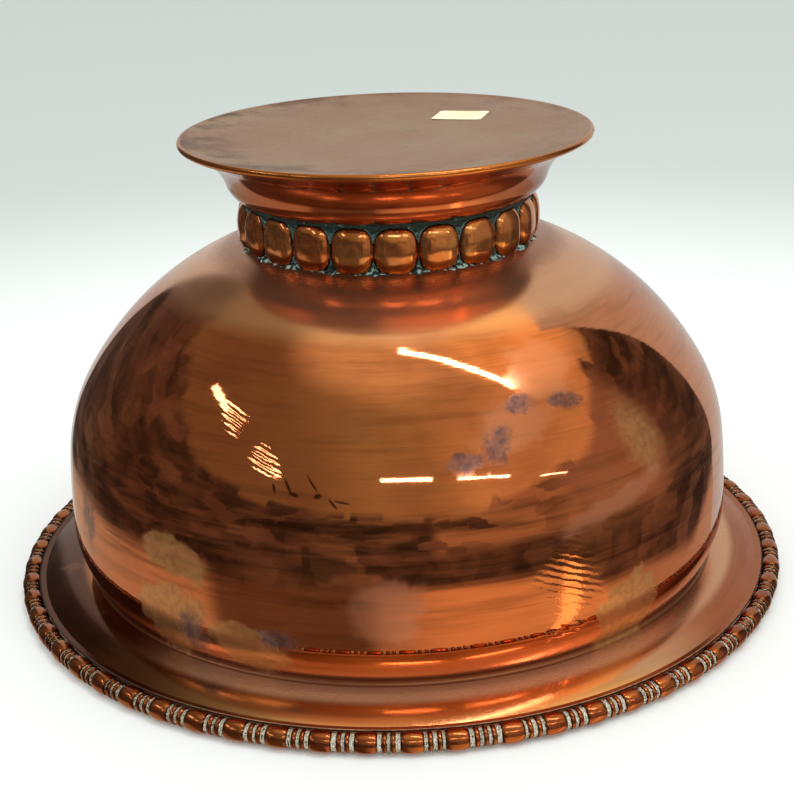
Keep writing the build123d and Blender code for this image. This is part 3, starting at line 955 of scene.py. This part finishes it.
def make_label(material, columns=28, rows=22):
    """Blank paper label that follows the dish, with rounded corners and one edge a little lifted."""
    top, _ = plate_outline()
    dish_radii = [point[0] for point in top]
    dish_heights = [point[1] for point in top]
    turn = math.radians(LABEL_ANGLE)
    points = []
    for layer in LABEL_LAYERS:
        for row in range(rows + 1):
            v = (row / rows - 0.5) * LABEL_WIDTH
            past = max(0.0, abs(v) - (LABEL_WIDTH / 2 - LABEL_CORNER))
            cut = LABEL_CORNER - math.sqrt(LABEL_CORNER ** 2 - past ** 2)
            for column in range(columns + 1):
                u = (column / columns - 0.5) * (LABEL_LENGTH - 2 * cut)
                x = LABEL_CENTRE[0] + u * math.cos(turn) - v * math.sin(turn)
                y = LABEL_CENTRE[1] + u * math.sin(turn) + v * math.cos(turn)
                lift = 0.5 * max(0.0, u / LABEL_LENGTH + v / LABEL_WIDTH - 0.55) ** 1.5
                lift += 0.35 * max(0.0, -u / LABEL_LENGTH - v / LABEL_WIDTH - 0.6) ** 1.5
                ground = np.interp(math.hypot(x, y), dish_radii, dish_heights)
                points.append((x, y, ground + layer + lift + LABEL_CLEARANCE))
    width = columns + 1
    layer_size = width * (rows + 1)
    faces = []
    for row in range(rows):
        for column in range(columns):
            corner = row * width + column
            quad = (corner, corner + 1, corner + width + 1, corner + width)
            faces.append(quad)
            faces.append(tuple(layer_size + index for index in quad[::-1]))
    edge = list(range(columns))
    edge += [row * width + columns for row in range(rows)]
    edge += [rows * width + column for column in range(columns, 0, -1)]
    edge += [row * width for row in range(rows, 0, -1)]
    for here, following in zip(edge, edge[1:] + edge[:1]):
        faces.append((following, here, here + layer_size, following + layer_size))
    return make_piece("blank_label", points, faces, material, "price_label")


# -------------------------------- floor, light and camera, m

FLOOR_HALF_SIZE = 4.0
# painted light: the floor is white near the bowl and greyer far off
FLOOR_NEAR = (0.94, 0.965, 0.955, 1.0)
FLOOR_FAR = (0.60, 0.65, 0.63, 1.0)
FLOOR_GRAIN = (0.7, 0.72, 0.7, 1.0)


def make_ground():
    """A plain pale table top with a painted pool of light, white round the bowl; the copper reflects the
    room's own table instead.
    """
    graph = Graph("pale_floor")
    place = graph.node("TexCoord").outputs["Object"]
    grain = graph.noise(place, 260.0, 2.0, 0.5)
    x, y, _ = graph.separate(place)
    away = graph.length(graph.combine(x, y, 0.0))
    # painted pool of light round the bowl
    colour = graph.mix(graph.fade(away, 0.35, 0.95), FLOOR_NEAR, FLOOR_FAR)
    colour = graph.stained(colour, grain, 0.02, FLOOR_GRAIN)
    material = graph.finish(Base_Color=colour, Roughness=0.6)
    half = FLOOR_HALF_SIZE
    corners = [(-half, -half, 0.0), (half, -half, 0.0), (half, half, 0.0), (-half, half, 0.0)]
    mesh = bpy.data.meshes.new("floor")
    mesh.from_pydata(corners, [], [(0, 1, 2, 3)])
    mesh.materials.append(material)
    floor = bpy.data.objects.new("floor", mesh)
    bpy.context.scene.collection.objects.link(floor)
    floor.visible_glossy = False


# Linear tones of the light and of the room that polished metal reflects
SOFT_LIGHT = (1.02, 1.05, 1.045, 1)
BACKDROP = (0.60, 0.66, 0.64, 1)
CEILING_LEFT = (0.24, 0.20, 0.12, 1)
CEILING_MIDDLE = (0.46, 0.41, 0.23, 1)
CEILING_RIGHT = (0.80, 0.66, 0.38, 1)
CEILING_TOP = (0.85, 0.74, 0.48, 1)
CEILING_GLOW = (1.3, 1.0, 0.5, 1)
CEILING_SMUDGE = (0.2, 0.17, 0.12, 1)
ROOM_DARK = (0.045, 0.04, 0.037, 1)
ROOM_DARKEST = (0.03, 0.026, 0.022, 1)
FURNITURE = (0.25, 0.195, 0.15, 1)
WINDOW = (0.40, 0.33, 0.26, 1)
NEAR_WALL = (0.46, 0.36, 0.24, 1)
BACK_WALL = (0.62, 0.63, 0.60, 1)
TABLE = (0.56, 0.44, 0.31, 1)
TABLE_LIT = (0.98, 0.72, 0.38, 1)
TABLE_SHADE = (0.17, 0.12, 0.08, 1)
TABLE_STREAK = (2.6, 1.7, 0.8, 1)

# Directions: the glow on the ceiling, and the planes through the origin that bound the back wall
GLOW_AIM = (0.47, 0.12, 0.875)
BACK_WALL_PLANES = [(0.903, 0.430, 0.0), (-0.656, 0.726, 0.205)]


class Room:
    """What polished metal reflects, by direction alone: a lit ceiling, a dim room, a table and a pale wall.

    side and front are the sine and cosine of the azimuth, and rise is the slope above the horizon.
    """

    def __init__(self, graph):
        self.graph = graph
        self.direction = graph.node("TexCoord").outputs["Generated"]
        self.x, self.y, self.z = graph.separate(self.direction)
        flat = graph.length(graph.combine(self.x, self.y, 0.0))
        flat = graph.math("MAXIMUM", flat, 0.001)
        self.front = graph.math("DIVIDE", graph.times(self.y, -1.0), flat)
        self.side = graph.math("DIVIDE", self.x, flat)
        self.rise = graph.math("DIVIDE", self.z, flat)
        self.compass = graph.math("ARCTAN2", self.side, self.front)
        self.haze = graph.noise(self.direction, 2.6, 3.0, 0.6)
        self.goods = graph.math("POWER", self.blocks(0.16, 0.11, 0.0), 2.0)

    def facing(self, azimuth, low, high):
        """1 towards an azimuth and 0 away from it, changing between two cosines."""
        graph = self.graph
        turn = math.radians(azimuth)
        aim = graph.add(graph.times(self.side, math.sin(turn)), graph.times(self.front, math.cos(turn)))
        return graph.fade(aim, low, high)

    def beyond(self, aim):
        """1 on the aimed side of a plane through the origin, with a crisp edge."""
        return self.graph.fade(self.graph.dot(self.direction, aim), -0.008, 0.008)

    def blocks(self, wide, high, shift):
        """Flat grey values on box-shaped patches, as of furniture: about wide by high to a patch."""
        graph = self.graph
        across = graph.add(graph.math("DIVIDE", self.compass, wide), shift)
        place = graph.combine(across, graph.math("DIVIDE", self.rise, high), shift)
        cells = graph.node("TexVoronoi", {"Vector": place, "Scale": 1.0}, distance="CHEBYCHEV")
        return graph.separate(cells.outputs["Color"])[0]

    def ceiling(self):
        graph = self.graph
        lit = graph.mix(graph.fade(self.x, -0.55, 0.0), CEILING_LEFT, CEILING_MIDDLE)
        lit = graph.mix(graph.fade(self.x, 0.0, 0.6), lit, CEILING_RIGHT)
        lit = graph.mix(graph.fade(self.z, 0.88, 0.98), lit, CEILING_TOP)
        lit = graph.mix(graph.fade(graph.dot(self.direction, GLOW_AIM), 0.93, 0.985), lit, CEILING_GLOW)
        return graph.mix(graph.fade(self.haze, 0.4, 0.65, 0.0, 0.25), lit, CEILING_SMUDGE)

    def dim_band(self):
        """The room at eye level: dark, with furniture, a window at the right and a wall near the front."""
        graph = self.graph
        squashed = graph.combine(graph.times(self.x, 1.5), graph.times(self.y, 1.5), graph.times(self.z, 4.0))
        shelves = graph.fade(graph.noise(squashed, 2.2, 4.0, 0.6), 0.36, 0.66)
        clutter = graph.add(graph.times(shelves, 0.5), graph.times(self.goods, 0.6))
        dim = graph.mix(clutter, ROOM_DARK, FURNITURE)
        dim = graph.mix(graph.fade(self.side, -0.3, -0.8, 0.0, 0.35), dim, ROOM_DARKEST)
        window = graph.times(self.facing(78, 0.88, 0.98), graph.fade(self.rise, -0.35, -0.1))
        dim = graph.mix(window, dim, WINDOW)
        near_wall = graph.times(self.facing(35, 0.89, 0.93), graph.fade(self.rise, -0.3, -0.1))
        return graph.mix(graph.times(near_wall, graph.fade(self.goods, 0.8, 0.3)), dim, NEAR_WALL)

    def table(self):
        graph = self.graph
        table = graph.mix(self.facing(45, 0.6, 0.95), TABLE, TABLE_LIT)
        table = graph.mix(self.facing(-38, 0.84, 0.92), table, TABLE_SHADE)
        return graph.mix(self.facing(58, 0.9975, 0.999), table, TABLE_STREAK)

    def whole(self):
        """The ceiling over a ragged skyline, the dim band, the table below it, and the pale wall behind."""
        graph = self.graph
        climb = graph.fade(self.side, -0.3, 0.2, 0.34, 0.47)
        edge = graph.add(0.22, graph.times(graph.less(1.0, self.front), climb))
        skyline = self.blocks(0.22, 0.9, 5.0)
        above = graph.sum(
            graph.less(self.rise, edge), (graph.less(self.haze, 0.5), 0.2), (graph.less(skyline, 0.5), 0.14),
        )
        room = graph.mix(graph.fade(above, -0.05, 0.05), self.dim_band(), self.ceiling())
        table_drop = graph.add(0.37, graph.times(self.facing(95, 0.75, 0.95), 0.1))
        room = graph.mix(graph.fade(graph.add(self.rise, table_drop), 0.03, -0.03), room, self.table())
        wall = graph.times(*[self.beyond(plane) for plane in BACK_WALL_PLANES])
        wall = graph.times(wall, graph.fade(self.z, 0.78, 0.80, 1.0, 0.0))
        return graph.mix(wall, room, BACK_WALL)


def make_world():
    """Soft pale light all round, a plain pale backdrop, and the room where polished metal mirrors it."""
    world = bpy.data.worlds.new("studio")
    bpy.context.scene.world = world
    world.use_nodes = True
    graph = Graph("studio", world.node_tree)
    path = graph.node("LightPath").outputs
    seen = graph.mix(path["Is Glossy Ray"], SOFT_LIGHT, Room(graph).whole())
    seen = graph.mix(path["Is Camera Ray"], seen, BACKDROP)
    background = graph.node("Background", {"Color": seen, "Strength": 1.0})
    output = graph.node("OutputWorld")
    graph.tree.links.new(background.outputs[0], output.inputs[0])


LAMP_HEIGHT = 1.9
LAMP_COLOUR = (1.0, 0.97, 0.9)

# Name, start and end (x, y) in metres, width, radiance
TUBES = [
    ("tube_over", (0.03, -0.16), (1.19, -0.47), 0.055, 30.0),
    ("tube_front_left", (-0.29, -2.5), (0.51, -2.5), 0.1, 26.0),
    ("tube_front_middle", (1.0, -2.5), (2.1, -2.5), 0.1, 26.0),
    ("tube_front_right", (3.1, -2.5), (4.2, -2.5), 0.1, 16.0),
    ("tube_left_near", (-2.0, 0.13), (-2.0, -0.83), 0.16, 8.0),
    ("tube_left_far", (-2.0, -1.33), (-2.0, -2.1), 0.16, 8.0),
]


def ceiling_tube(name, start, end, width, radiance):
    """Ceiling tube from start to end, facing down."""
    start = Vector((*start, LAMP_HEIGHT))
    end = Vector((*end, LAMP_HEIGHT))
    along = end - start
    light = bpy.data.lights.new(name, "AREA")
    light.shape = "RECTANGLE"
    light.size = along.length
    light.size_y = width
    light.energy = radiance * math.pi * along.length * width
    light.color = LAMP_COLOUR
    lamp = bpy.data.objects.new(name, light)
    turn = Matrix.Rotation(math.atan2(along.y, along.x), 4, "Z")
    lamp.matrix_world = Matrix.Translation((start + end) / 2) @ turn
    bpy.context.scene.collection.objects.link(lamp)


CAMERA_PLACE = (0.0, -0.7179, 0.3577)
CAMERA_PITCH = math.radians(21.01)
CAMERA_YAW = math.radians(0.08)
CAMERA_ROLL = math.radians(-2.08)
CAMERA_LENS = 69.83


def make_camera():
    forward = Vector((
        math.sin(CAMERA_YAW) * math.cos(CAMERA_PITCH),
        math.cos(CAMERA_YAW) * math.cos(CAMERA_PITCH),
        -math.sin(CAMERA_PITCH),
    ))
    level = Vector((math.cos(CAMERA_YAW), -math.sin(CAMERA_YAW), 0.0))
    upright = level.cross(forward)
    right = level * math.cos(CAMERA_ROLL) + upright * math.sin(CAMERA_ROLL)
    up = upright * math.cos(CAMERA_ROLL) - level * math.sin(CAMERA_ROLL)
    data = bpy.data.cameras.new("camera")
    data.lens = CAMERA_LENS
    data.clip_start = 0.01
    camera = bpy.data.objects.new("camera", data)
    turn = Matrix((right, up, -forward)).transposed().to_4x4()
    camera.matrix_world = Matrix.Translation(CAMERA_PLACE) @ turn
    bpy.context.scene.collection.objects.link(camera)
    bpy.context.scene.camera = camera


# -------------------------------- assembly


def dress_cad_nodes(solder, names):
    """The hidden soldered joints keep their CAD shape and get the solder material."""
    for name in names:
        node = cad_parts[name]
        node.data.materials.clear()
        node.data.materials.append(solder)


def main():
    bpy.context.scene.view_settings.view_transform = "Standard"
    make_bowl(make_polished_copper())
    make_rim_wire(make_wire_copper())
    make_skirt(make_foot_copper())
    make_plate(make_plate_copper())
    make_collar(make_bead_copper())
    make_lower_crust(make_verdigris("lower_verdigris", LOWER_CRUST_DARK, LOWER_CRUST_PALE, 0.49, 0.57))
    make_upper_crust(make_verdigris("upper_verdigris", UPPER_CRUST_DARK, UPPER_CRUST_PALE, 0.6, 0.72))
    make_label(make_label_paper())
    dress_cad_nodes(make_solder(), ["rim_solder_seam", "foot_plate_solder_seam", "neck_solder_joint"])
    make_ground()
    make_world()
    for tube in TUBES:
        ceiling_tube(*tube)
    make_camera()


main()
